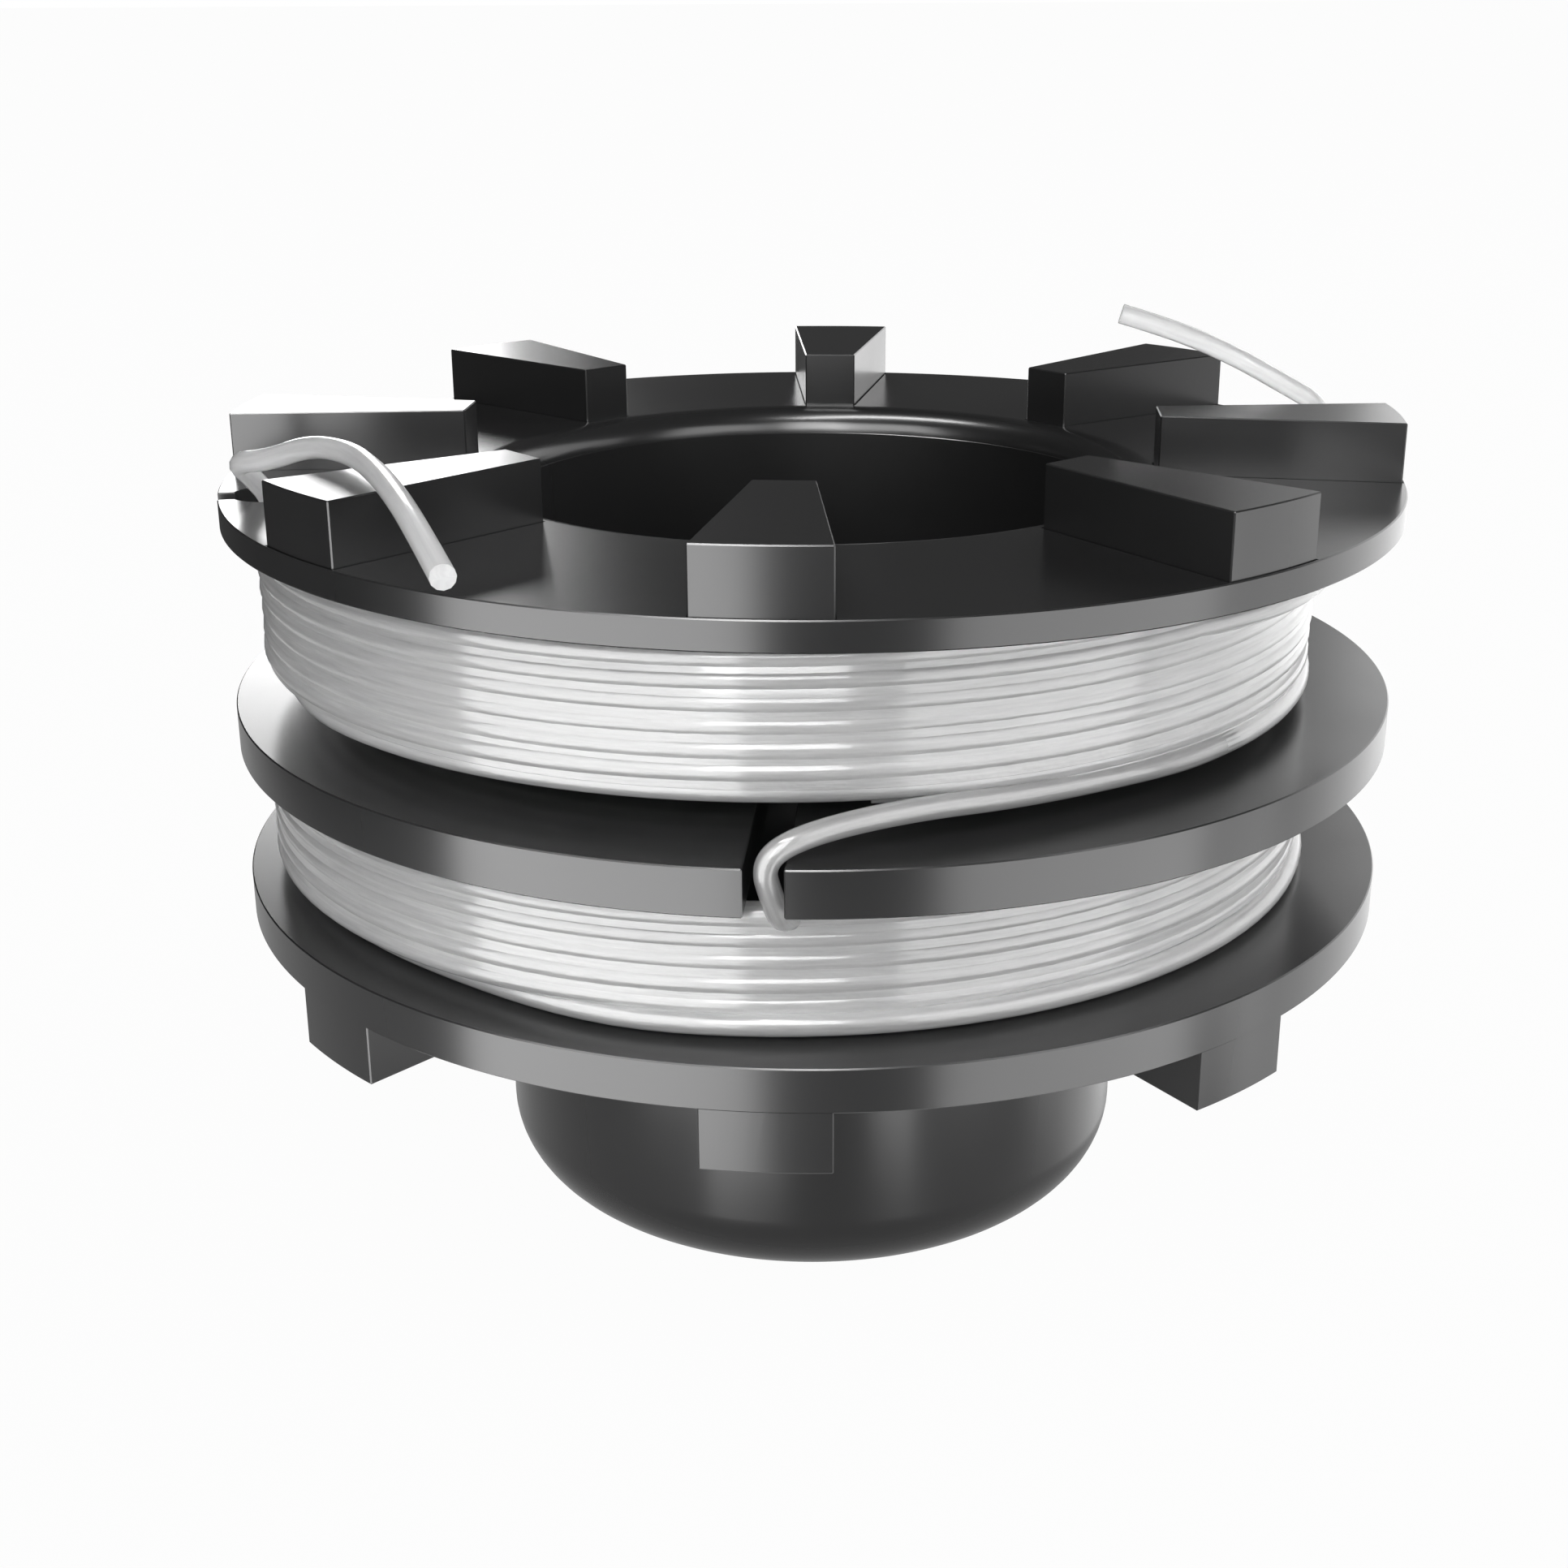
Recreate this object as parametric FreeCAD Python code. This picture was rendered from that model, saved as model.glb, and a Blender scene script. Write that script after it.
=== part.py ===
import FreeCAD, Part
import math
import os

# A trimmer line spool: one black moulding with three flanges on a hollow hub,
# drive lugs above and below, and a bump button that closes the hub's lower end.
# One length of nylon line is folded through the slot in the middle flange and
# wound into the two chambers, and its two ends leave by the top flange's keyholes.
# Millimetres and degrees. Z runs up the spool's axis from the button's foot.
# Azimuth 0 is the front, -Y, and grows towards +X.

# Flanges and chambers
flange_radius = 40.0
top_flange_thickness = 1.84
middle_flange_thickness = 2.93
bottom_flange_thickness = 2.82
upper_chamber_height = 12.2
lower_chamber_height = 9.12
edge_bevel = 0.15

# Hub, open at the top
bore_radius = 21.6
hub_wall = 1.7
mouth_round = 1.83

# Bump button, which closes the hub at the bottom
button_radius = 22.5
button_height = 24.47
button_wall = 1.6
button_floor = 2.0
shoulder_thickness = 1.4
button_corner_radius = 5.5
button_crown_radius = 108.0
button_foot_radius = 6.0
cavity_corner = 3.5
spring_boss_radius = 7.0
spring_boss_wall = 1.4
spring_boss_height = 3.0

# Drive lugs, on the top flange and under the bottom flange
top_lug_spacing = 45.0
top_lug_height = 3.96
top_lug_rim_inset = 0.2
lower_lug_azimuths = (-45.0, 0.0, 45.0, 135.0, 180.0, 225.0)
lower_lug_height = 3.92
lug_inner_distance = 23.7
lug_inner_width = 3.86
lug_outer_width = 7.8

# Keyholes for the line's ends, and the slot that the line is folded through
keyhole_azimuths = (-72.4, 107.6)
keyhole_diameter = 5.0
keyhole_distance = 36.6
keyhole_slit_width = 2.1
slot_width = 2.3

# Line and windings
line_diameter = 1.4
turn_pitch = 1.375
winding_clearance = 0.1
upper_turns = 7
upper_winding_radius = 36.0
upper_winding_shift = -1.6
upper_winding_foot_radius = 30.5
lower_turns = 6
lower_winding_radius = 35.8
lower_winding_shift = -1.8
lower_winding_slope = 25.0
turn_relief = 0.35

# Heights worked out from the sizes above
bottom_flange_base = button_height
bottom_flange_top = bottom_flange_base + bottom_flange_thickness
middle_flange_base = bottom_flange_top + lower_chamber_height
middle_flange_top = middle_flange_base + middle_flange_thickness
top_flange_base = middle_flange_top + upper_chamber_height
top_face = top_flange_base + top_flange_thickness
bore_foot = bottom_flange_base + shoulder_thickness
hub_radius = bore_radius + hub_wall
weld_radius = hub_radius - hub_wall / 2
past_edge = 5.0

AXIS = FreeCAD.Vector(0, 0, 1)
ORIGIN = FreeCAD.Vector(0, 0, 0)


def at(radius, height):
    """A point of a turned outline."""
    return FreeCAD.Vector(radius, 0, height)


def lines(points):
    """Straight edges from each point to the next."""
    return [Part.LineSegment(a, b).toShape() for a, b in zip(points, points[1:])]


def arc(start, through, end):
    return Part.Arc(start, through, end).toShape()


def turned(edges, shift=0.0):
    """The solid that a closed outline makes, turned about Z moved by shift along X."""
    solid = Part.Face(Part.Wire(edges)).revolve(ORIGIN, AXIS, 360)
    solid.translate(FreeCAD.Vector(shift, 0, 0))
    return solid


def to_azimuth(shape, azimuth):
    """A copy of a shape made at the front, turned to an azimuth."""
    placed = shape.copy()
    placed.rotate(ORIGIN, AXIS, azimuth)
    return placed


def button_outline():
    """The button's outline: flat foot, shallow crown, round corner and straight side."""
    crown_centre = math.sqrt(button_crown_radius**2 - button_foot_radius**2)
    corner_distance = button_radius - button_corner_radius
    reach = button_crown_radius - button_corner_radius
    corner_height = crown_centre - math.sqrt(reach**2 - corner_distance**2)
    foot_lean = math.asin(button_foot_radius / button_crown_radius)
    crown_lean = math.asin(corner_distance / reach)
    side_lean = math.pi / 2

    def on_crown(lean):
        drop = button_crown_radius * math.cos(lean)
        return at(button_crown_radius * math.sin(lean), crown_centre - drop)

    def on_corner(lean):
        drop = button_corner_radius * math.cos(lean)
        return at(corner_distance + button_corner_radius * math.sin(lean), corner_height - drop)

    crown_end = on_crown(crown_lean)
    corner_end = on_corner(side_lean)
    return (
        lines([at(0, 0), at(button_foot_radius, 0)])
        + [arc(at(button_foot_radius, 0), on_crown((foot_lean + crown_lean) / 2), crown_end)]
        + [arc(crown_end, on_corner((crown_lean + side_lean) / 2), corner_end)]
        + lines([corner_end, at(button_radius, bottom_flange_base)])
    )


def make_hub():
    """The hub and the button below it, one hollow turned wall open at the top."""
    hub_side = [
        at(button_radius, bottom_flange_base),
        at(hub_radius, bottom_flange_base),
        at(hub_radius, top_face),
        at(0, top_face),
        at(0, 0),
    ]
    cavity_radius = button_radius - button_wall
    open_top = top_face + past_edge
    cavity = [
        at(0, button_floor),
        at(cavity_radius - cavity_corner, button_floor),
        at(cavity_radius, button_floor + cavity_corner),
        at(cavity_radius, bore_foot),
        at(bore_radius, bore_foot),
        at(bore_radius, open_top),
        at(0, open_top),
        at(0, button_floor),
    ]
    hub = turned(button_outline() + lines(hub_side))
    return hub.cut(turned(lines(cavity))).fuse(make_spring_boss())


def make_spring_boss():
    """The low ring on the button's floor that centres the return spring."""
    root = button_floor / 2
    height = button_floor - root + spring_boss_height
    ring = Part.makeCylinder(spring_boss_radius, height, at(0, root))
    return ring.cut(Part.makeCylinder(spring_boss_radius - spring_boss_wall, height, at(0, root)))


def make_flange(base, thickness):
    """A disc with bevelled rim edges, rooted in the middle of the hub's wall."""
    top = base + thickness
    outline = [
        at(weld_radius, base),
        at(flange_radius - edge_bevel, base),
        at(flange_radius, base + edge_bevel),
        at(flange_radius, top - edge_bevel),
        at(flange_radius - edge_bevel, top),
        at(weld_radius, top),
        at(weld_radius, base),
    ]
    return turned(lines(outline))


def make_keyhole():
    """The round hole and its slit to the rim, as the shape that they remove."""
    height = top_flange_thickness + 2 * past_edge
    base = top_flange_base - past_edge
    hole = Part.makeCylinder(keyhole_diameter / 2, height, FreeCAD.Vector(0, -keyhole_distance, base))
    slit_length = flange_radius + past_edge - keyhole_distance
    corner = FreeCAD.Vector(-keyhole_slit_width / 2, -flange_radius - past_edge, base)
    return hole.fuse(Part.makeBox(keyhole_slit_width, slit_length, height, corner))


def make_slot():
    """The parallel slot in the middle flange, as the shape that it removes."""
    height = middle_flange_thickness + 2 * past_edge
    corner = FreeCAD.Vector(-slot_width / 2, -flange_radius - past_edge, middle_flange_base - past_edge)
    return Part.makeBox(slot_width, flange_radius + past_edge - weld_radius, height, corner)


def make_lug(rim_radius, height):
    """A lug at the front, standing on Z = 0, with its free edges bevelled."""
    half_in = lug_inner_width / 2
    half_out = lug_outer_width / 2
    corner_distance = math.sqrt(rim_radius**2 - half_out**2)
    inner_left = FreeCAD.Vector(-half_in, -lug_inner_distance, 0)
    inner_right = FreeCAD.Vector(half_in, -lug_inner_distance, 0)
    outer_left = FreeCAD.Vector(-half_out, -corner_distance, 0)
    outer_right = FreeCAD.Vector(half_out, -corner_distance, 0)
    rim_front = FreeCAD.Vector(0, -rim_radius, 0)
    edges = lines([outer_right, inner_right, inner_left, outer_left])
    edges.append(arc(outer_left, rim_front, outer_right))
    lug = Part.Face(Part.Wire(edges)).extrude(FreeCAD.Vector(0, 0, height))
    free_edges = [edge for edge in lug.Edges if edge.BoundBox.ZMax > height / 2]
    return lug.makeChamfer(edge_bevel, free_edges)


def make_top_lugs():
    root = top_flange_thickness / 2
    lug = make_lug(flange_radius - top_lug_rim_inset, root + top_lug_height)
    lug.translate(FreeCAD.Vector(0, 0, top_face - root))
    count = round(360 / top_lug_spacing)
    return [to_azimuth(lug, index * top_lug_spacing) for index in range(count)]


def make_lower_lugs():
    root = bottom_flange_thickness / 2
    lug = make_lug(flange_radius, root + lower_lug_height)
    lug.rotate(ORIGIN, FreeCAD.Vector(0, 1, 0), 180)
    lug.translate(FreeCAD.Vector(0, 0, bottom_flange_base + root))
    return [to_azimuth(lug, azimuth) for azimuth in lower_lug_azimuths]


def make_mouth_cut():
    """What the rounded mouth takes off the bore's upper edge."""
    centre_radius = bore_radius + mouth_round
    centre_height = top_face - mouth_round
    slant = mouth_round * math.sqrt(0.5)
    wall_end = at(bore_radius, centre_height)
    face_end = at(centre_radius, top_face)
    round_edge = arc(wall_end, at(centre_radius - slant, centre_height + slant), face_end)
    inner_radius = bore_radius - hub_wall
    rest = lines(
        [
            face_end,
            at(centre_radius, top_face + past_edge),
            at(inner_radius, top_face + past_edge),
            at(inner_radius, centre_height),
            wall_end,
        ]
    )
    return turned([round_edge] + rest)


def make_spool():
    """The whole moulding."""
    top_flange = make_flange(top_flange_base, top_flange_thickness)
    for azimuth in keyhole_azimuths:
        top_flange = top_flange.cut(to_azimuth(make_keyhole(), azimuth))
    middle_flange = make_flange(middle_flange_base, middle_flange_thickness).cut(make_slot())
    bottom_flange = make_flange(bottom_flange_base, bottom_flange_thickness)
    added = [top_flange, middle_flange, bottom_flange] + make_top_lugs() + make_lower_lugs()
    return make_hub().fuse(added).cut(make_mouth_cut()).removeSplitter()


def ridges(radius, start, turns, step):
    """A winding's outer side from start, one ridge a turn, each step up or down."""
    valley = radius - turn_relief
    points = [at(valley, start)]
    for turn in range(turns):
        points.append(at(radius, start + (turn + 0.5) * step))
        points.append(at(valley, start + (turn + 1) * step))
    return points


def around_hub(solid):
    """A winding opened for the hub, with its clearance."""
    hole = Part.makeCylinder(hub_radius + winding_clearance, top_face, ORIGIN)
    return solid.cut(hole)


def make_upper_winding():
    """The upper winding: its lower side narrows towards the middle flange."""
    top = top_flange_base - winding_clearance
    foot = middle_flange_top + winding_clearance
    side = ridges(upper_winding_radius, top, upper_turns, -turn_pitch)
    outline = [at(0, foot), at(0, top)] + side + [at(upper_winding_foot_radius, foot), at(0, foot)]
    return around_hub(turned(lines(outline), upper_winding_shift))


def make_lower_winding():
    """The lower winding: its upper side falls away towards the hub."""
    foot = bottom_flange_top + winding_clearance
    side = ridges(lower_winding_radius, foot, lower_turns, turn_pitch)
    fall = math.tan(math.radians(lower_winding_slope)) * (lower_winding_radius - weld_radius)
    crest = foot + lower_turns * turn_pitch
    inner = at(weld_radius + lower_winding_shift, crest - fall)
    outline = [at(0, foot)] + side + [inner, at(0, crest - fall), at(0, foot)]
    return around_hub(turned(lines(outline), lower_winding_shift))


def line_path(points):
    """Straight runs joined by tangent arcs, and the arcs' radii."""
    edges = []
    radii = []
    here = points[0]
    for before, corner, after in zip(points, points[1:], points[2:]):
        run_in = corner - before
        run_out = after - corner
        shorter = min(run_in.Length, run_out.Length)
        half_turn = run_in.getAngle(run_out) / 2
        tangent = 0.45 * shorter
        radius = tangent / math.tan(half_turn)
        run_in.normalize()
        run_out.normalize()
        start = corner - run_in * tangent
        end = corner + run_out * tangent
        inward = run_out - run_in
        inward.normalize()
        middle = corner + inward * (radius / math.cos(half_turn) - radius)
        edges += lines([here, start])
        edges.append(arc(start, middle, end))
        radii.append(radius)
        here = end
    edges += lines([here, points[-1]])
    return Part.Wire(edges), radii


def make_line(name, route):
    """A tube of line along a route, whose heights count from the top flange's top face."""
    points = [FreeCAD.Vector(x, y, top_face + rise) for x, y, rise in route]
    path, radii = line_path(points)
    section = Part.Wire(Part.makeCircle(line_diameter / 2, points[0], points[1] - points[0]))
    tube = path.makePipeShell([section], True, False)
    expected = math.pi * line_diameter**2 / 4 * path.Length
    print(f"{name}: length {path.Length:.2f}, volume {tube.Volume / expected:.4f} of section x length")
    print("  bend radii " + " ".join(f"{radius:.1f}" for radius in radii))
    return tube


# The left end rises through its keyhole, turns over at once and lies across a lug.
left_end_route = [
    (-34.7, -11.1, -1.86),
    (-34.75, -11.25, -0.3),
    (-35.98, -12.82, 1.75),
    (-36.57, -14.75, 3.2),
    (-33.35, -16.5, 3.4),
    (-29.76, -18.3, 4.65),
    (-26.5, -21.5, 4.95),
    (-23.6, -26.4, 4.85),
    (-20.7, -33.05, 4.85),
    (-17.75, -40.45, 4.7),
    (-14.8, -47.6, 4.05),
]

# The right end leaves the winding's side, rises through its keyhole and turns back.
right_end_route = [
    (34.8, -5.0, -5.0),
    (35.3, -0.2, -5.0),
    (35.3, 5.0, -4.9),
    (35.1, 9.4, -3.4),
    (35.4, 11.1, -0.4),
    (36.5, 10.3, 2.5),
    (33.55, 10.0, 4.15),
    (29.75, 10.35, 6.2),
    (25.4, 10.7, 7.95),
    (21.7, 10.85, 9.0),
]

# The fold leaves the upper winding, passes down the slot and ends on the lower one.
crossover_route = [
    (27.3, -21.8, -12.4),
    (21.6, -27.6, -12.3),
    (14.4, -32.5, -12.3),
    (7.5, -35.5, -12.1),
    (1.95, -38.3, -12.65),
    (-0.15, -39.25, -13.9),
    (0.3, -38.9, -16.4),
    (0.6, -38.0, -18.5),
    (0.95, -35.85, -18.8),
]


def main():
    os.makedirs("parts", exist_ok=True)
    solids = {
        "spool": make_spool(),
        "upper_winding": make_upper_winding(),
        "lower_winding": make_lower_winding(),
        "left_line_end": make_line("left_line_end", left_end_route),
        "right_line_end": make_line("right_line_end", right_end_route),
        "crossover_line": make_line("crossover_line", crossover_route),
    }
    for name, shape in solids.items():
        print(f"{name}: {len(shape.Solids)} solid, {shape.Volume:.1f} mm3, valid {shape.isValid()}")
        shape.exportStep(f"parts/{name}.step")


main()
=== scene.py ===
import math

import bmesh
import bpy
from mathutils import Matrix, Vector


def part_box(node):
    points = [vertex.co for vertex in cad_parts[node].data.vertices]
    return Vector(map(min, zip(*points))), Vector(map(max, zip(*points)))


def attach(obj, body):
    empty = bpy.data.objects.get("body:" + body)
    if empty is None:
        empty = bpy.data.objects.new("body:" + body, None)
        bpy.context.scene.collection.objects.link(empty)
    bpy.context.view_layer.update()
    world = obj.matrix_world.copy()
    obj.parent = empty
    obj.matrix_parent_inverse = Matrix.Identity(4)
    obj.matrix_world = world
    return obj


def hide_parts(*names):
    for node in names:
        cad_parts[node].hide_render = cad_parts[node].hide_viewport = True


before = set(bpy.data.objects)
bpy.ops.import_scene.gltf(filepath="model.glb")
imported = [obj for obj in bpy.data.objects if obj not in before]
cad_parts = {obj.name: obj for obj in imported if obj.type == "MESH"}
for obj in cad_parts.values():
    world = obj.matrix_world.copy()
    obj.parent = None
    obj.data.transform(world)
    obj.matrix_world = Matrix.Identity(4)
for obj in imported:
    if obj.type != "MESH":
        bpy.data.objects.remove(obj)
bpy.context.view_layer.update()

MM = 0.001

# The moulding's sizes, in metres, with its heights counted from the bump button's foot
FLANGE_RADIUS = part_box("spool")[1].x
TOP_LUG_HEIGHT = 3.96 * MM
TOP_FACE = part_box("spool")[1].z - TOP_LUG_HEIGHT
TOP_FLANGE_THICKNESS = 1.84 * MM
MIDDLE_FLANGE_THICKNESS = 2.93 * MM
BOTTOM_FLANGE_THICKNESS = 2.82 * MM
UPPER_CHAMBER_HEIGHT = 12.2 * MM
LOWER_CHAMBER_HEIGHT = 9.12 * MM
TOP_FLANGE_BASE = TOP_FACE - TOP_FLANGE_THICKNESS
MIDDLE_FLANGE_TOP = TOP_FLANGE_BASE - UPPER_CHAMBER_HEIGHT
MIDDLE_FLANGE_BASE = MIDDLE_FLANGE_TOP - MIDDLE_FLANGE_THICKNESS
BOTTOM_FLANGE_TOP = MIDDLE_FLANGE_BASE - LOWER_CHAMBER_HEIGHT
BOTTOM_FLANGE_BASE = BOTTOM_FLANGE_TOP - BOTTOM_FLANGE_THICKNESS
BORE_RADIUS = 21.6 * MM
HUB_RADIUS = 23.3 * MM
MOUTH_ROUND = 1.83 * MM
BUTTON_RADIUS = 22.5 * MM
BUTTON_WALL = 1.6 * MM
BUTTON_FLOOR = 2.0 * MM
SHOULDER_THICKNESS = 1.4 * MM
BUTTON_CORNER_RADIUS = 5.5 * MM
BUTTON_CROWN_RADIUS = 108.0 * MM
BUTTON_FOOT_RADIUS = 6.0 * MM
CAVITY_CORNER = 3.5 * MM
SPRING_BOSS_RADIUS = 7.0 * MM
SPRING_BOSS_WALL = 1.4 * MM
SPRING_BOSS_HEIGHT = 3.0 * MM
LUG_SPACING = 45
LOWER_LUG_AZIMUTHS = (-45, 0, 45, 135, 180, 225)
LOWER_LUG_HEIGHT = 3.92 * MM
LUG_INNER_DISTANCE = 23.7 * MM
LUG_INNER_WIDTH = 3.86 * MM
LUG_OUTER_WIDTH = 7.8 * MM
TOP_LUG_RIM_INSET = 0.2 * MM
KEYHOLE_AZIMUTHS = (-72.4, 107.6)
KEYHOLE_RADIUS = 2.5 * MM
KEYHOLE_DISTANCE = 36.6 * MM
KEYHOLE_SLIT_WIDTH = 2.1 * MM
SLOT_WIDTH = 2.3 * MM

# Finish of the moulding's edges, and how finely its round walls are drawn
EDGE_BEVEL = 0.08 * MM
FOOT_GROOVE = 0.1 * MM
TURNED_STEPS = 288
SMOOTH_ANGLE = math.radians(28)
PAST = 3.0 * MM

# Line and windings. A tuck is where the line dips in behind its neighbours
LINE_RADIUS = 0.7 * MM
TURN_PITCH = 1.375 * MM
TURN_POINTS = 120
TUCK_DEPTH = 1.2 * MM
TUCK_TURNS = 0.12
VALLEY_DEPTH = 0.17 * MM
HUB_CLEARANCE = 0.1 * MM

# The camera, fitted to the photograph
CAMERA_PLACE = (9.761 * MM, -148.545 * MM, TOP_FACE + 30.423 * MM)
CAMERA_YAW = -0.07879
CAMERA_PITCH = 0.34770
CAMERA_ROLL = -0.00572
CAMERA_LENS = 49.75
CAMERA_SENSOR = 36.0

# Outputs of the Texture Coordinate and Light Path nodes, by their place
UV_MAP = 2
OBJECT_PLACE = 3
CAMERA_RAY = 0
DIFFUSE_RAY = 2
GLOSSY_RAY = 3
TRANSMISSION_RAY = 6

# The nylon's streaks: what they follow, how many there are and how they are stretched
STREAKS_ROUND_WINDING = (OBJECT_PLACE, 4200, (0.05, 0.05, 1))
STREAKS_ALONG_LINE = (UV_MAP, 1, (9, 14, 1))

# How bright the surround is for matt surfaces, and how much less for glossy ones
SURROUND_LIGHT = 0.17
SURROUND_GLOSS_DROP = 0.1
# How much of the floor glows by itself, for the eye and for matt surfaces
FLOOR_SHOWN = 0.97
FLOOR_BOUNCE = 0.25

LEFT_END_ROUTE = [
    (-34.7, -11.1, -1.86),
    (-34.75, -11.25, -0.3),
    (-35.5, -12.7, 1.5),
    (-35.9, -14.5, 2.75),
    (-33.2, -16.4, 3.3),
    (-29.76, -18.3, 4.65),
    (-26.5, -21.5, 4.95),
    (-23.6, -26.4, 4.85),
    (-20.7, -33.05, 4.85),
    (-17.75, -40.45, 4.7),
    (-14.8, -47.6, 4.05),
]

RIGHT_END_ROUTE = [
    (34.8, -5.0, -5.0),
    (35.3, -0.2, -5.0),
    (35.3, 5.0, -4.9),
    (35.1, 9.4, -3.4),
    (35.4, 11.1, -0.4),
    (36.5, 10.3, 2.5),
    (33.55, 10.0, 4.15),
    (29.75, 10.35, 6.2),
    (25.4, 10.7, 7.95),
    (21.7, 10.85, 9.0),
]

CROSSOVER_ROUTE = [
    (27.5, -20.7, -12.4),
    (25.15, -23.9, -12.4),
    (21.3, -27.3, -12.35),
    (14.3, -32.1, -12.3),
    (7.5, -35.5, -12.1),
    (1.95, -38.3, -12.65),
    (-0.15, -39.25, -13.9),
    (0.4, -38.6, -16.4),
    (0.9, -37.5, -18.35),
    (1.3, -35.0, -18.8),
]


class Wire:
    """A shader socket that can be added, scaled and so on in a plain expression."""

    def __init__(self, shader, socket):
        self.shader = shader
        self.socket = socket

    def maths(self, operation, *values):
        return self.shader.node("ShaderNodeMath", {"operation": operation}, *values)

    def __add__(self, other):
        return self.maths("ADD", self, other)

    def __radd__(self, other):
        return self.maths("ADD", other, self)

    def __sub__(self, other):
        return self.maths("SUBTRACT", self, other)

    def __rsub__(self, other):
        return self.maths("SUBTRACT", other, self)

    def __mul__(self, other):
        return self.maths("MULTIPLY", self, other)

    def __rmul__(self, other):
        return self.maths("MULTIPLY", other, self)


class Shader:
    """The node tree of one material or of the world."""

    def __init__(self, tree):
        self.tree = tree
        tree.nodes.clear()

    def node(self, kind, settings=None, *values, output=0, **named):
        """Any node: its settings first, then its sockets by order or by name."""
        made = self.tree.nodes.new(kind)
        for key, value in (settings or {}).items():
            setattr(made, key, value)
        for index, value in enumerate(values):
            self.feed(made.inputs[index], value)
        for key, value in named.items():
            self.feed(made.inputs[key.replace("_", " ")], value)
        return Wire(self, made.outputs[output]) if made.outputs else None

    def feed(self, socket, value):
        if isinstance(value, Wire):
            self.tree.links.new(value.socket, socket)
        else:
            socket.default_value = value


def new_material(name):
    material = bpy.data.materials.new(name)
    material.use_nodes = True
    return material, Shader(material.node_tree)


def noise(shader, place, scale, detail, stretch=(1, 1, 1)):
    """Noise from 0 to 1 on the piece's own place in space, in turns per metre."""
    mapped = shader.node("ShaderNodeMapping", None, Vector=place, Scale=stretch)
    return shader.node("ShaderNodeTexNoise", None, Vector=mapped, Scale=scale, Detail=detail)


def black_plastic():
    """Moulded black plastic with a satin gloss and a very fine texture."""
    material, shader = new_material("black_plastic")
    place = shader.node("ShaderNodeTexCoord", None, output=OBJECT_PLACE)
    cloud = noise(shader, place, 90, 3)
    grain = noise(shader, place, 2600, 2)
    roughness = 0.2 + 0.08 * cloud
    bump = shader.node("ShaderNodeBump", None, Strength=0.02, Distance=0.00002, Height=grain)
    surface = shader.node(
        "ShaderNodeBsdfPrincipled",
        None,
        Base_Color=(0.027, 0.027, 0.0275, 1),
        Roughness=roughness,
        IOR=1.5,
        Normal=bump,
    )
    shader.node("ShaderNodeOutputMaterial", None, surface)
    return material


def nylon(name, streaks, paleness, clearness):
    """Clear-white extruded nylon line, glossy, with fine streaks along it.
    paleness is its darkest shade, set darker or paler on copies of the one line as painted shade
    and painted light, and clearness how far it lets light through."""
    follows, scale, stretch = streaks
    material, shader = new_material(name)
    spot = shader.node("ShaderNodeTexCoord", None, output=OBJECT_PLACE)
    along = shader.node("ShaderNodeTexCoord", None, output=follows)
    streak = noise(shader, along, scale, 4, stretch)
    cloud = noise(shader, spot, 60, 2)
    wave = noise(shader, spot, 900, 3, (0.4, 0.4, 1))
    shade = paleness + 0.36 * streak + 0.08 * cloud
    colour = shader.node("ShaderNodeCombineColor", None, shade, shade, shade)
    bump = shader.node(
        "ShaderNodeBump", None, Strength=1.0, Distance=0.00003, Height=streak + 4 * wave
    )
    surface = shader.node(
        "ShaderNodeBsdfPrincipled",
        {"subsurface_method": "BURLEY"},
        Base_Color=colour,
        Roughness=0.42 + 0.24 * streak,
        IOR=1.58,
        Normal=bump,
        Subsurface_Weight=0.8,
        Subsurface_Radius=(1, 1, 1),
        Subsurface_Scale=0.0025,
        Coat_Weight=0.8,
        Coat_Roughness=0.12,
        Transmission_Weight=clearness,
    )
    shader.node("ShaderNodeOutputMaterial", None, surface)
    return material


def choose(piece):
    """Selects one object alone and makes it the active one."""
    bpy.ops.object.select_all(action="DESELECT")
    piece.select_set(True)
    bpy.context.view_layer.objects.active = piece


def finish_piece(piece, material, slot, *nodes):
    piece.data.materials.clear()
    piece.data.materials.append(material)
    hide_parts(*nodes)
    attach(piece, "root")


def drawn(name, points, closed):
    """A new object with one outline in it, chosen and open for editing."""
    data = bpy.data.meshes.new(name)
    edges = [(index, index + 1) for index in range(len(points) - 1)]
    if closed:
        edges.append((len(points) - 1, 0))
    data.from_pydata(points, edges, [])
    piece = bpy.data.objects.new(name, data)
    bpy.context.scene.collection.objects.link(piece)
    choose(piece)
    bpy.ops.object.mode_set(mode="EDIT")
    bpy.ops.mesh.select_mode(type="EDGE")
    bpy.ops.mesh.select_all(action="SELECT")
    return piece


def turned(name, section, closed=False, shift=0.0):
    """A section of radii and heights, spun about an upright axis into a solid."""
    piece = drawn(name, [(shift + radius, 0, height) for radius, height in section], closed)
    axis_foot = (shift, 0, 0)
    bpy.ops.mesh.spin(steps=TURNED_STEPS, angle=2 * math.pi, center=axis_foot, axis=(0, 0, 1))
    bpy.ops.mesh.select_all(action="SELECT")
    bpy.ops.mesh.remove_doubles(threshold=0.001 * MM)
    bpy.ops.mesh.normals_make_consistent(inside=False)
    bpy.ops.object.mode_set(mode="OBJECT")
    return piece


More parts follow.
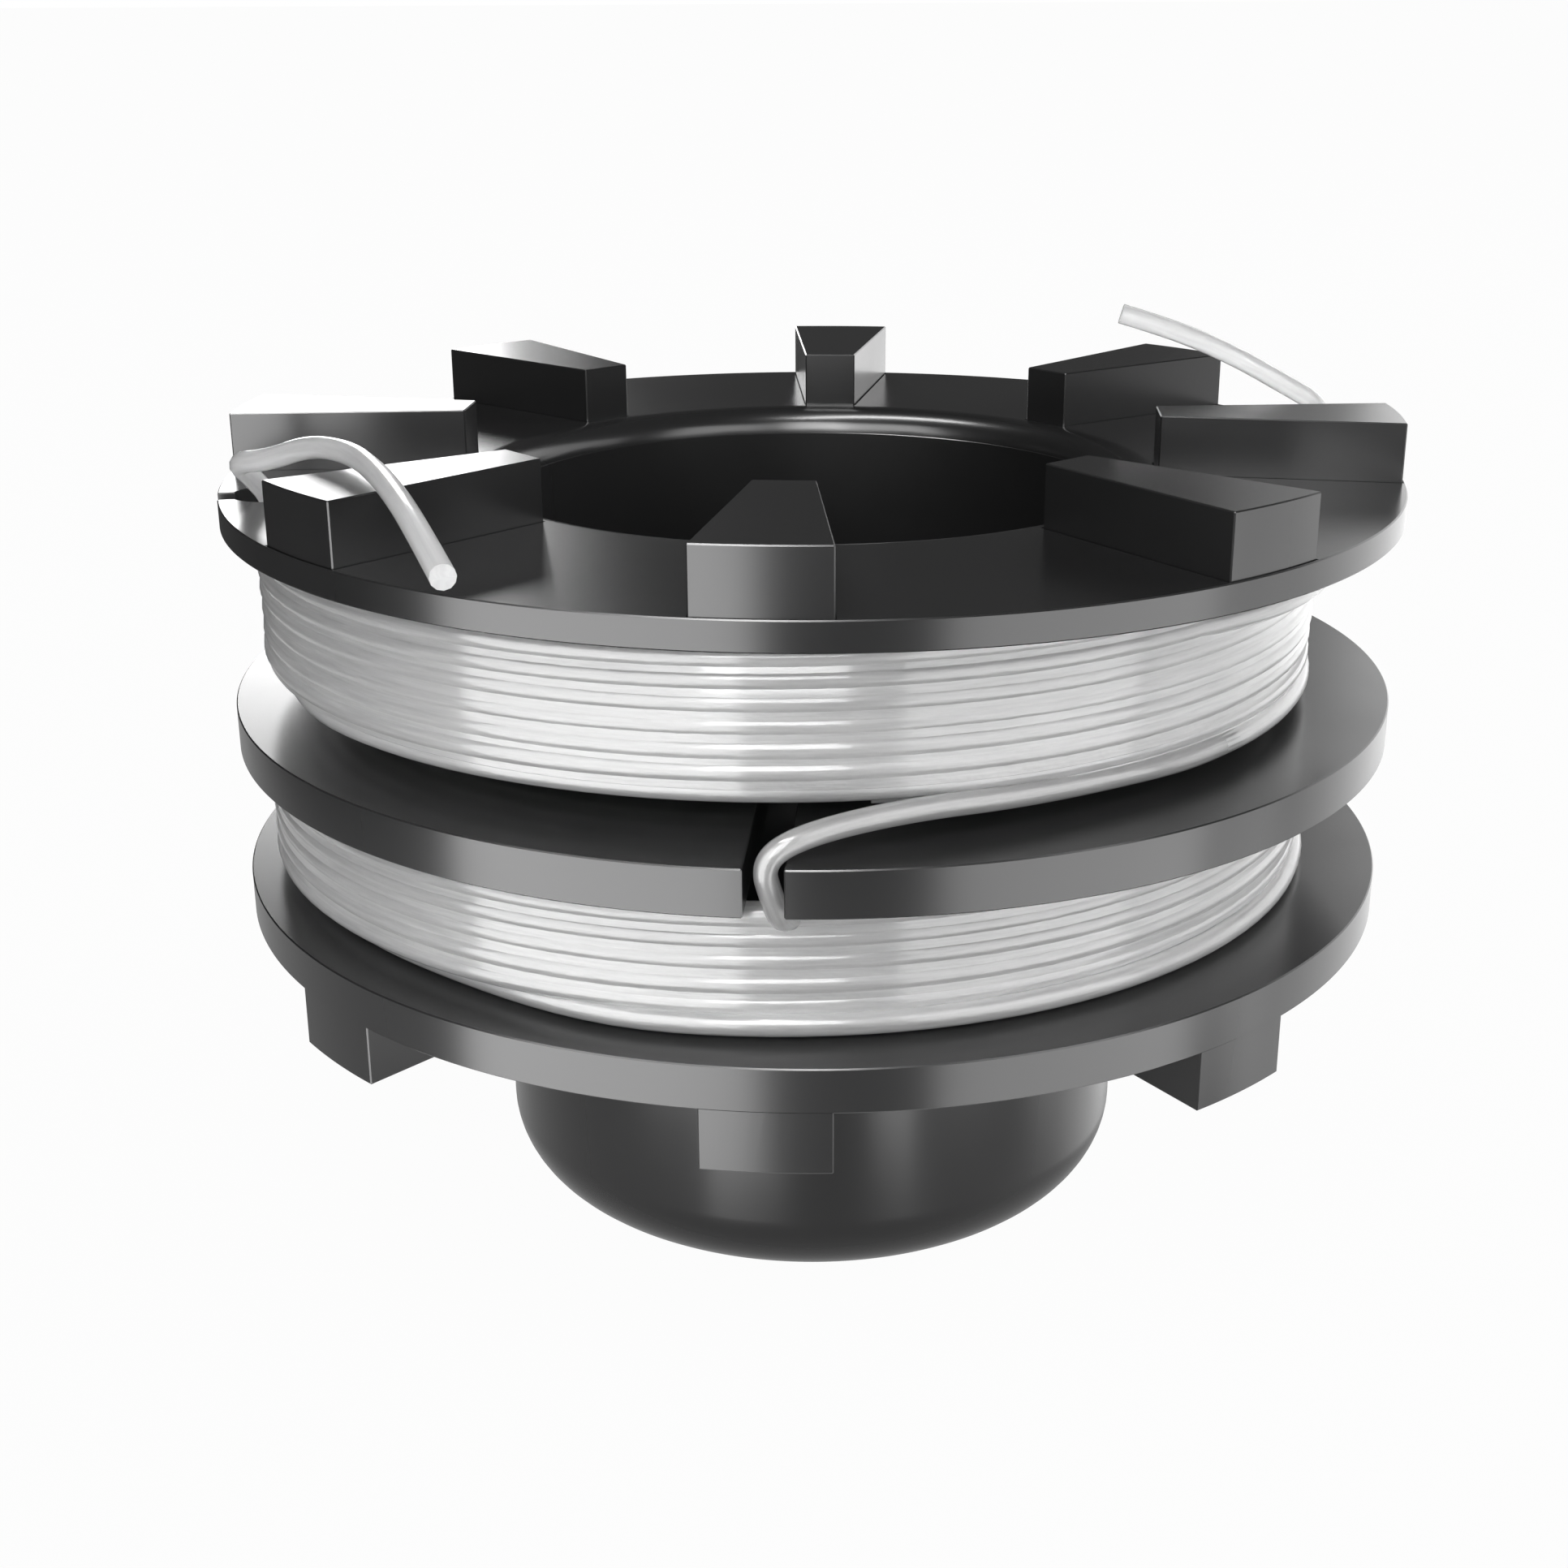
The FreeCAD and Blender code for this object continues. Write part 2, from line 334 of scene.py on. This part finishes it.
def extruded(name, outline, low, high):
    """A flat outline given thickness from low to high, left open for editing."""
    piece = drawn(name, [(x, y, low) for x, y in outline], closed=True)
    bpy.ops.mesh.edge_face_add()
    bpy.ops.mesh.extrude_region_move(TRANSFORM_OT_translate={"value": (0, 0, high - low)})
    bpy.ops.mesh.select_all(action="SELECT")
    bpy.ops.mesh.normals_make_consistent(inside=False)
    return piece


def bevel_where(piece, wanted):
    """Bevels the sharp edges whose middle point is wanted."""
    bpy.ops.mesh.select_all(action="DESELECT")
    bpy.ops.mesh.edges_select_sharp(sharpness=math.radians(30))
    shape = bmesh.from_edit_mesh(piece.data)
    for edge in shape.edges:
        middle = (edge.verts[0].co + edge.verts[1].co) / 2
        if edge.select and not wanted(middle):
            edge.select_set(False)
    bmesh.update_edit_mesh(piece.data)
    bpy.ops.mesh.bevel(offset=EDGE_BEVEL, segments=1, affect="EDGES", clamp_overlap=False)
    bpy.ops.object.mode_set(mode="OBJECT")


def turned_copies(piece, azimuths):
    """The piece copied to each azimuth, joined as one object. The first is removed."""
    copies = []
    for azimuth in azimuths:
        copy = bpy.data.objects.new(piece.name, piece.data.copy())
        copy.data.transform(Matrix.Rotation(math.radians(azimuth), 4, "Z"))
        bpy.context.scene.collection.objects.link(copy)
        copies.append(copy)
    bpy.data.objects.remove(piece, do_unlink=True)
    choose(copies[0])
    for copy in copies:
        copy.select_set(True)
    bpy.ops.object.join()
    return bpy.context.view_layer.objects.active


def combine(piece, other, operation):
    """Adds or cuts away another solid, which is used up."""
    choose(piece)
    modifier = piece.modifiers.new("combine", "BOOLEAN")
    modifier.operation = operation
    modifier.solver = "EXACT"
    modifier.object = other
    bpy.ops.object.modifier_apply(modifier=modifier.name)
    bpy.data.objects.remove(other, do_unlink=True)


def arc(centre, radius, start, end, steps):
    """Points of an arc in a section. Leans are in radians from straight down, outwards."""
    points = []
    for step in range(steps + 1):
        lean = start + (end - start) * step / steps
        points.append((centre[0] + radius * math.sin(lean), centre[1] - radius * math.cos(lean)))
    return points


def button_section():
    """The bump button from its foot's centre, over its crown and corner, to its side."""
    crown_height = math.sqrt(BUTTON_CROWN_RADIUS**2 - BUTTON_FOOT_RADIUS**2)
    corner_distance = BUTTON_RADIUS - BUTTON_CORNER_RADIUS
    reach = BUTTON_CROWN_RADIUS - BUTTON_CORNER_RADIUS
    corner_height = crown_height - math.sqrt(reach**2 - corner_distance**2)
    foot_lean = math.asin(BUTTON_FOOT_RADIUS / BUTTON_CROWN_RADIUS)
    crown_lean = math.asin(corner_distance / reach)
    crown = arc((0, crown_height), BUTTON_CROWN_RADIUS, foot_lean, crown_lean, 10)
    corner_centre = (corner_distance, corner_height)
    corner = arc(corner_centre, BUTTON_CORNER_RADIUS, crown_lean, math.pi / 2, 14)
    return [(0, 0)] + crown + corner[1:] + [(BUTTON_RADIUS, BOTTOM_FLANGE_BASE)]


def rim_section(base, top):
    """A flange's bevelled rim, from its lower face to its upper face."""
    return [
        (FLANGE_RADIUS - EDGE_BEVEL, base),
        (FLANGE_RADIUS, base + EDGE_BEVEL),
        (FLANGE_RADIUS, top - EDGE_BEVEL),
        (FLANGE_RADIUS - EDGE_BEVEL, top),
    ]


def cavity_section():
    """The inside, from the rounded mouth down the bore and the button's cup to its centre."""
    mouth_centre = (BORE_RADIUS + EDGE_BEVEL / 2 + MOUTH_ROUND, TOP_FACE - MOUTH_ROUND)
    cup_radius = BUTTON_RADIUS - BUTTON_WALL
    boss_top = BUTTON_FLOOR + SPRING_BOSS_HEIGHT
    boss_inside = SPRING_BOSS_RADIUS - SPRING_BOSS_WALL
    return (
        [(mouth_centre[0] + EDGE_BEVEL, TOP_FACE)]
        + arc(mouth_centre, MOUTH_ROUND, math.pi, math.pi * 1.5, 12)
        + [
            (BORE_RADIUS, mouth_centre[1] - EDGE_BEVEL / 2),
            (BORE_RADIUS, BOTTOM_FLANGE_BASE + SHOULDER_THICKNESS),
            (cup_radius, BOTTOM_FLANGE_BASE + SHOULDER_THICKNESS),
            (cup_radius, BUTTON_FLOOR + CAVITY_CORNER),
            (cup_radius - CAVITY_CORNER, BUTTON_FLOOR),
            (SPRING_BOSS_RADIUS, BUTTON_FLOOR),
            (SPRING_BOSS_RADIUS, boss_top),
            (boss_inside, boss_top),
            (boss_inside, BUTTON_FLOOR),
            (0, BUTTON_FLOOR),
        ]
    )


def lugs(rim_radius, low, high, azimuths, grown=0.0):
    """Lugs from low to high at each azimuth, tapered towards the hub, with bevelled edges.
    Grown ones are wider all round and are what the grooves at the lugs' feet remove."""
    half_in = LUG_INNER_WIDTH / 2 + grown
    half_out = LUG_OUTER_WIDTH / 2 + grown
    inside = -LUG_INNER_DISTANCE + grown
    spread = math.asin(half_out / rim_radius)
    outer = [(-x, y) for x, y in arc((0, 0), rim_radius + grown, -spread, spread, 10)]
    outline = [(-half_in, inside), (half_in, inside)] + outer
    lug = extruded("lug", outline, low, high)
    if grown:
        bpy.ops.object.mode_set(mode="OBJECT")
    else:
        bevel_where(lug, lambda middle: True)
    return turned_copies(lug, azimuths)


def keyholes():
    """What the two keyholes remove: a round hole with a slit to the rim."""
    half = KEYHOLE_SLIT_WIDTH / 2
    opening = math.asin(half / KEYHOLE_RADIUS)
    hole = arc((0, -KEYHOLE_DISTANCE), KEYHOLE_RADIUS, opening, 2 * math.pi - opening, 40)
    end = -FLANGE_RADIUS - PAST
    outline = hole + [(-half, end), (half, end)]
    cutter = extruded("keyhole", outline, TOP_FLANGE_BASE - PAST, TOP_FACE + PAST)
    bpy.ops.object.mode_set(mode="OBJECT")
    return turned_copies(cutter, KEYHOLE_AZIMUTHS)


def slot():
    """What the middle flange's slot removes."""
    half = SLOT_WIDTH / 2
    start = -HUB_RADIUS - HUB_CLEARANCE
    end = -FLANGE_RADIUS - PAST
    outline = [(-half, start), (half, start), (half, end), (-half, end)]
    cutter = extruded("slot", outline, MIDDLE_FLANGE_BASE - PAST, MIDDLE_FLANGE_TOP + PAST)
    bpy.ops.object.mode_set(mode="OBJECT")
    return cutter


def on_slot_edge(middle):
    """Whether a point is on the free edges of the middle flange's slot."""
    beside = abs(abs(middle.x) - SLOT_WIDTH / 2) < EDGE_BEVEL / 4
    outside = middle.y < -HUB_RADIUS - PAST / 6
    level = MIDDLE_FLANGE_BASE - EDGE_BEVEL < middle.z < MIDDLE_FLANGE_TOP + EDGE_BEVEL
    return beside and outside and level


def on_keyhole_edge(middle):
    """Whether a point is on the edges of a keyhole at the top flange's two faces."""
    near = EDGE_BEVEL / 4
    if TOP_FACE - near > middle.z > TOP_FLANGE_BASE + near:
        return False
    for azimuth in KEYHOLE_AZIMUTHS:
        local = Matrix.Rotation(math.radians(-azimuth), 3, "Z") @ middle
        in_hole = math.hypot(local.x, local.y + KEYHOLE_DISTANCE) < KEYHOLE_RADIUS + near
        in_slit = abs(local.x) < KEYHOLE_SLIT_WIDTH / 2 + near and local.y < -KEYHOLE_DISTANCE
        if middle.z > TOP_FLANGE_BASE - EDGE_BEVEL and (in_hole or in_slit):
            return True
    return False


def spool_moulding(material):
    """The moulding: one turned wall with three flanges, then its openings and its lugs."""
    section = (
        button_section()
        + rim_section(BOTTOM_FLANGE_BASE, BOTTOM_FLANGE_TOP)
        + [(HUB_RADIUS, BOTTOM_FLANGE_TOP), (HUB_RADIUS, MIDDLE_FLANGE_BASE)]
        + rim_section(MIDDLE_FLANGE_BASE, MIDDLE_FLANGE_TOP)
        + [(HUB_RADIUS, MIDDLE_FLANGE_TOP), (HUB_RADIUS, TOP_FLANGE_BASE)]
        + rim_section(TOP_FLANGE_BASE, TOP_FACE)
        + cavity_section()
    )
    piece = turned("spool_moulding", section)
    combine(piece, keyholes(), "DIFFERENCE")
    combine(piece, slot(), "DIFFERENCE")
    choose(piece)
    bpy.ops.object.mode_set(mode="EDIT")
    bevel_where(piece, lambda middle: on_slot_edge(middle) or on_keyhole_edge(middle))
    root = TOP_FACE - TOP_FLANGE_THICKNESS / 2
    every = range(0, 360, LUG_SPACING)
    rim = FLANGE_RADIUS - TOP_LUG_RIM_INSET
    grooves = lugs(rim, TOP_FACE - 2 * FOOT_GROOVE, TOP_FACE + PAST, every, grown=FOOT_GROOVE)
    combine(piece, grooves, "DIFFERENCE")
    combine(piece, lugs(rim, root, TOP_FACE + TOP_LUG_HEIGHT, every), "UNION")
    root = BOTTOM_FLANGE_BASE + BOTTOM_FLANGE_THICKNESS / 2
    low = BOTTOM_FLANGE_BASE - LOWER_LUG_HEIGHT
    combine(piece, lugs(FLANGE_RADIUS - EDGE_BEVEL, low, root, LOWER_LUG_AZIMUTHS), "UNION")
    choose(piece)
    bpy.ops.object.shade_smooth_by_angle(angle=SMOOTH_ANGLE)
    finish_piece(piece, material, "spool_plastic", "spool")


def line_curve(name, kind, places):
    """A round line, as a curve with one open spline through or along places."""
    data = bpy.data.curves.new(name, "CURVE")
    data.dimensions = "3D"
    data.bevel_depth = LINE_RADIUS
    data.bevel_resolution = 4
    data.use_fill_caps = True
    add_line(data, kind, places)
    return data


def add_line(data, kind, places):
    spline = data.splines.new(kind)
    spline.points.add(len(places) - 1)
    for point, place in zip(spline.points, places):
        point.co = (*place, 1)


def route_curve(name, route):
    """A line along the smooth curve whose control points are a route."""
    places = [(x * MM, y * MM, TOP_FACE + rise * MM) for x, y, rise in route]
    data = line_curve(name, "NURBS", places)
    data.resolution_u = 12
    data.splines[0].order_u = 3
    data.splines[0].use_endpoint_u = True
    piece = bpy.data.objects.new(name, data)
    bpy.context.scene.collection.objects.link(piece)
    return piece


def free_end(name, route, node, material):
    piece = route_curve(name, route)
    finish_piece(piece, material, "nylon_line", node)


def crossover(material):
    """The fold through the slot, a little thinner where it covers the winding's tail."""
    piece = route_curve("fold_through_slot", CROSSOVER_ROUTE)
    piece.data.splines[0].points[0].radius = 0.94
    finish_piece(piece, material, "nylon_line", "crossover_line")


def ease(share):
    """0 to 1 with a soft start and a soft end."""
    share = min(max(share, 0), 1)
    return share * share * (3 - 2 * share)


def rise(done, start, length):
    """0 until start, then softly up to 1 over a length, all in turns."""
    return ease((done - start) / length)


def fall(done, end, length):
    """1, then softly down over a length to 0 at the end, all in turns."""
    return ease((end - done) / length)


def sway(turn, seed):
    """A small uneven offset, from -1 to 1, that changes slowly along the winding."""
    angle = turn * 2 * math.pi
    return (
        0.5 * math.sin(0.73 * angle + seed)
        + 0.3 * math.sin(1.61 * angle + 2.3 * seed)
        + 0.2 * math.sin(3.37 * angle + 4.1 * seed)
    )


def coil(centre, first_azimuth, turns, heights, reaches, seed, loose=1.0):
    """Places along a coil about an upright axis. turns below 0 run towards lower azimuths.
    heights and reaches are functions of the turns done."""
    places = []
    steps = int(abs(turns) * TURN_POINTS)
    for index in range(steps + 1):
        done = abs(turns) * index / steps
        azimuth = math.radians(first_azimuth) + math.copysign(done, turns) * 2 * math.pi
        reach = reaches(done) + loose * 0.08 * MM * sway(done, seed)
        height = heights(done) + loose * 0.07 * MM * sway(done, seed + 1.7)
        places.append((centre + reach * math.sin(azimuth), -reach * math.cos(azimuth), height))
    return places


def wound_piece(name, turns, core_section, centre, material, node):
    """A winding: its visible turns and the solid heart that they lie on."""
    turns.name = name
    piece = bpy.data.objects.new(name, turns)
    bpy.context.scene.collection.objects.link(piece)
    choose(piece)
    bpy.ops.object.convert(target="MESH")
    piece = bpy.context.view_layer.objects.active
    core = turned("core", core_section, closed=True, shift=centre)
    choose(piece)
    core.select_set(True)
    bpy.ops.object.join()
    bpy.ops.object.shade_smooth_by_angle(angle=math.radians(50))
    finish_piece(piece, material, "nylon_line", node)


def upper_winding(material):
    """Seven turns down the outside, which run on into the fold through the slot."""
    low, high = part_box("upper_winding")
    centre = (low.x + high.x) / 2 - 0.1 * MM
    outer = (high.x - low.x) / 2 - LINE_RADIUS + 0.2 * MM
    top = high.z - LINE_RADIUS
    end = [(a + b) / 2 * MM for a, b in zip(*CROSSOVER_ROUTE[:2])]
    end_azimuth = math.degrees(math.atan2(end[0] - centre, -end[1]))
    end_reach = math.hypot(end[0] - centre, end[1])
    end_height = TOP_FACE + end[2]
    first_azimuth = 178
    turns = 7 + (first_azimuth - end_azimuth) / 360
    drop = (top - end_height) / turns

    def reaches(done):
        start_tuck = fall(done, TUCK_TURNS, TUCK_TURNS)
        front_tuck = 0.15 * rise(done, 6.3, 0.1) * fall(done, 6.7, 0.08)
        left_tuck = rise(done, 6.62, 0.08) * fall(done, 7.05, 0.12)
        run_out = (end_reach - outer) * rise(done, turns - 0.15, 0.15)
        return outer + run_out - TUCK_DEPTH * (start_tuck + front_tuck + left_tuck)

    def heights(done):
        lift = 0.1 * MM * rise(done, 6.45, 0.1) * fall(done, 7.0, 0.3)
        return top - drop * done + lift

    places = coil(centre, first_azimuth, -turns, heights, reaches, 0.6)
    # The tail is led on to the fold's start, where it is thinner than the fold that covers it
    tail = int(0.1 * TURN_POINTS)
    target = Vector((end[0], end[1], end_height))
    offset = target - Vector(places[-1])
    for back in range(tail):
        place = Vector(places[-1 - back]) + offset * ease(1 - back / tail)
        places[-1 - back] = tuple(place)
    data = line_curve("upper_turns", "POLY", places)
    for back in range(4):
        data.splines[0].points[-1 - back].radius = 0.93 + 0.0175 * back

    # A short feed joins the right line end, from inside the winding's outermost turns
    start = [value * MM for value in RIGHT_END_ROUTE[0]]
    start_azimuth = math.degrees(math.atan2(start[0] - centre, -start[1]))
    start_reach = math.hypot(start[0] - centre, start[1])
    start_height = TOP_FACE + start[2]
    feed = 0.16
    feed_azimuth = start_azimuth - 360 * feed
    inset = 0.6 * MM

    def feed_reaches(done):
        return outer - inset + (start_reach - outer + inset) * ease(done / feed)

    def feed_heights(done):
        return start_height + 0.9 * MM * (1 - ease(done / feed))

    add_line(data, "POLY", coil(centre, feed_azimuth, feed, feed_heights, feed_reaches, 0, 0))
    # The winding's underside: each inner layer ends a little lower than the one outside it
    for layer in range(1, 5):
        reach = outer - inset - 1.2 * MM * layer
        step = 0.42 * MM * layer

        def under(done):
            return max(heights(6 + done) - step, low.z + LINE_RADIUS)

        ring = coil(centre, first_azimuth, -1.02, under, lambda done: reach, layer)
        add_line(data, "POLY", ring)

    # A run on the right shows between the last lap and the run that goes on into the fold
    def between_heights(done):
        return heights(6 + done) - 0.66 * MM

    def between_reaches(done):
        return outer - 0.45 * MM - 1.1 * MM * rise(done, 0.43, 0.03)

    between = coil(centre, first_azimuth, -0.46, between_heights, between_reaches, 5)
    add_line(data, "POLY", between)
    side = outer + LINE_RADIUS - VALLEY_DEPTH
    foot = low.z + LINE_RADIUS / 2
    section = [
        (HUB_RADIUS - centre, foot),
        (HUB_RADIUS - centre + 5 * MM, foot),
        (side - 1.2 * MM, end_height + 0.7 * MM),
        (side, end_height + 1.5 * MM),
        (side, high.z - 0.5 * MM),
        (side - 0.4 * MM, high.z - 0.05 * MM),
        (HUB_RADIUS - centre, high.z - 0.05 * MM),
    ]
    wound_piece("wound_line_upper", data, section, centre, material, "upper_winding")


def lower_winding(material):
    """Six turns up the outside from the bottom flange, and the layers inside them."""
    low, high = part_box("lower_winding")
    centre = (low.x + high.x) / 2
    outer = (high.x - low.x) / 2 - LINE_RADIUS + 0.6 * MM
    bottom = low.z + LINE_RADIUS
    top = high.z - LINE_RADIUS
    turns = 6.05

    def reaches(done):
        start_tuck = fall(done, TUCK_TURNS, TUCK_TURNS)
        end_tuck = rise(done, turns - TUCK_TURNS, TUCK_TURNS)
        first_half = 1.05 * MM * fall(done, 0.56, 0.08) * (1 - start_tuck)
        slack = 0.45 * MM * rise(done, 0.5, 0.07) * fall(done, 1.0, 0.2)
        return outer + slack - first_half - TUCK_DEPTH * (start_tuck + end_tuck)

    def heights(done):
        return min(max(bottom + (done - 0.75) * TURN_PITCH, bottom), top)

    data = line_curve("lower_turns", "POLY", coil(centre, 150, turns, heights, reaches, 2.9))
    # The winding's top slopes down towards the hub, one layer after the other
    for layer in range(1, 5):
        reach = outer - 1.25 * MM * layer
        height = top - 0.58 * MM * layer
        ring = coil(centre, 75 * layer, 1.02, lambda done: height, lambda done: reach, layer)
        add_line(data, "POLY", ring)
    side = outer + LINE_RADIUS - VALLEY_DEPTH
    hub_side = HUB_RADIUS - centre
    slope = math.tan(math.radians(25))
    section = [
        (hub_side, low.z + 0.02 * MM),
        (side - 1.7 * MM, low.z + 0.02 * MM),
        (side - 1.2 * MM, bottom + 0.4 * MM),
        (side, bottom + 1.0 * MM),
        (side, top),
        (side - 0.6 * MM, top + 0.3 * MM),
        (hub_side, top + 0.3 * MM - slope * (side - hub_side)),
    ]
    wound_piece("wound_line_lower", data, section, centre, material, "lower_winding")


def camera():
    data = bpy.data.cameras.new("camera")
    data.lens = CAMERA_LENS
    data.sensor_width = CAMERA_SENSOR
    data.clip_start = 0.01
    piece = bpy.data.objects.new("camera", data)
    bpy.context.scene.collection.objects.link(piece)
    turn = Matrix.Rotation(-CAMERA_YAW, 4, "Z")
    tilt = Matrix.Rotation(math.pi / 2 - CAMERA_PITCH, 4, "X")
    roll = Matrix.Rotation(CAMERA_ROLL, 4, "Z")
    piece.matrix_world = Matrix.Translation(CAMERA_PLACE) @ turn @ tilt @ roll
    bpy.context.scene.camera = piece


def area_lamp(name, size, place, glow, gloss, matt):
    """A light panel of a brightness, which glossy and matt surfaces may take or not."""
    data = bpy.data.lights.new(name, "AREA")
    data.shape = "RECTANGLE"
    data.size, data.size_y = size
    data.energy = glow * math.pi * size[0] * size[1]
    piece = bpy.data.objects.new(name, data)
    bpy.context.scene.collection.objects.link(piece)
    piece.location = place
    piece.visible_camera = False
    piece.visible_glossy = gloss
    piece.visible_diffuse = matt
    return piece


def panel(name, azimuth, distance, sides, heights, glow):
    """An upright panel square to an azimuth, at a distance from the axis, for gloss alone.
    sides are its ends, counted towards higher azimuths, and heights its lower and upper edge."""
    angle = math.radians(azimuth)
    along = sum(sides) / 2
    place = (
        distance * math.sin(angle) + along * math.cos(angle),
        -distance * math.cos(angle) + along * math.sin(angle),
        sum(heights) / 2,
    )
    size = (sides[1] - sides[0], heights[1] - heights[0])
    piece = area_lamp(name, size, place, glow, True, False)
    piece.rotation_euler = (math.pi / 2, 0, angle)


def aimed_lamp(name, place, size, glow, gloss=False, matt=True):
    """A square lamp at a place, aimed at the spool."""
    piece = area_lamp(name, (size, size), place, glow, gloss, matt)
    aim = Vector((0, 0, MIDDLE_FLANGE_TOP)) - Vector(place)
    piece.rotation_euler = aim.to_track_quat("-Z", "Y").to_euler()


def studio():
    """Light panels round the spool, a white surround for the eye and a pale floor."""
    panel("front_left_panel", -36, 0.1, (-0.03, 0.062), (-0.022, 0.14), 7.2)
    panel("front_left_foot", -36, 0.1, (0.01, 0.062), (-0.042, -0.022), 4.5)
    panel("front_high_panel", 4, 0.115, (-0.03, 0.02), (0.062, 0.17), 12.0)
    panel("front_right_panel", 57, 0.1, (-0.0665, 0.0173), (-0.022, 0.14), 4.4)
    panel("front_right_foot", 57, 0.1, (-0.0665, -0.035), (-0.042, -0.022), 4.0)
    panel("right_panel", 128, 1.0, (-1.02, 0.83), (-0.24, 0.61), 2.0)
    panel("right_foot_near", 128, 1.0, (-1.02, -0.5), (-0.6, -0.24), 2.3)
    panel("right_foot_middle", 128, 1.0, (-0.5, 0.85), (-0.33, -0.24), 1.5)
    panel("right_foot_far", 128, 1.0, (-0.5, 0.85), (-0.6, -0.33), 1.0)
    panel("right_edge", 128, 1.0, (0.85, 0.95), (0.33, 0.61), 0.8)
    panel("back_left_panel", -162, 1.0, (-0.082, 0.1), (-0.03, 0.36), 8.0)
    panel("back_left_edge", -162, 1.0, (-0.13, -0.082), (-0.03, 0.36), 0.6)
    strip = area_lamp("streak_strip", (0.57, 0.1), (-0.145, -0.14, 0.65), 30.0, True, False)
    strip.rotation_euler.z = math.radians(-44)
    aimed_lamp("floor_glow", (0, 0, -0.05), 0.5, 0.45, gloss=True, matt=False)
    aimed_lamp("overhead_lamp", (-0.05, -0.4, 0.62), 0.5, 1.5)
    aimed_lamp("right_lamp", (0.95, 0.17, 0.4), 0.5, 4.2)

    world = bpy.data.worlds.new("studio")
    bpy.context.scene.world = world
    world.use_nodes = True
    shader = Shader(world.node_tree)
    seen = shader.node("ShaderNodeLightPath", None, output=CAMERA_RAY)
    glossy = shader.node("ShaderNodeLightPath", None, output=GLOSSY_RAY)
    through = shader.node("ShaderNodeLightPath", None, output=TRANSMISSION_RAY)
    surround = SURROUND_LIGHT - SURROUND_GLOSS_DROP * glossy
    lit = shader.node("ShaderNodeBackground", None, (1, 1, 1, 1), surround)
    shown = shader.node("ShaderNodeBackground", None, (1, 1, 1, 1), 1.0)
    mixed = shader.node("ShaderNodeMixShader", None, seen + through, lit, shown)
    shader.node("ShaderNodeOutputWorld", None, mixed)

    bpy.ops.mesh.primitive_plane_add(size=80)
    floor = bpy.context.active_object
    floor.name = "floor"
    material, shader = new_material("pale_floor")
    seen = shader.node("ShaderNodeLightPath", None, output=CAMERA_RAY)
    through = shader.node("ShaderNodeLightPath", None, output=TRANSMISSION_RAY)
    matt = shader.node("ShaderNodeLightPath", None, output=DIFFUSE_RAY)
    paint = shader.node("ShaderNodeBsdfDiffuse", None, (0.8, 0.8, 0.8, 1))
    glow = shader.node("ShaderNodeEmission", None, (1, 1, 1, 1), 1.0)
    glowing = FLOOR_SHOWN * seen + FLOOR_SHOWN * through + FLOOR_BOUNCE * matt
    mixed = shader.node("ShaderNodeMixShader", None, glowing, paint, glow)
    shader.node("ShaderNodeOutputMaterial", None, mixed)
    floor.data.materials.append(material)
    floor.visible_glossy = False
    floor.visible_shadow = False


def main():
    bpy.ops.object.select_all(action="DESELECT")
    bpy.context.scene.view_settings.view_transform = "Standard"
    plastic = black_plastic()
    wound_line = nylon("wound_nylon", STREAKS_ROUND_WINDING, paleness=0.5, clearness=0)
    # The fold is the winding's own line, its copy painted darker than the winding as painted
    # shade
    painted_shade_fold_line = nylon("fold_nylon_painted_shade", STREAKS_ALONG_LINE, paleness=0.34, clearness=0.1)
    # The two free ends are the winding's own line, their copies painted paler than the winding
    # as painted light, the far end palest
    painted_light_loose_line = nylon("loose_nylon_painted_light", STREAKS_ALONG_LINE, paleness=0.68, clearness=0.35)
    painted_light_far_line = nylon("far_nylon_painted_light", STREAKS_ALONG_LINE, paleness=0.72, clearness=0.5)
    camera()
    free_end("line_end_left", LEFT_END_ROUTE, "left_line_end", painted_light_loose_line)
    free_end("line_end_right", RIGHT_END_ROUTE, "right_line_end", painted_light_far_line)
    crossover(painted_shade_fold_line)
    spool_moulding(plastic)
    upper_winding(wound_line)
    lower_winding(wound_line)
    studio()


main()
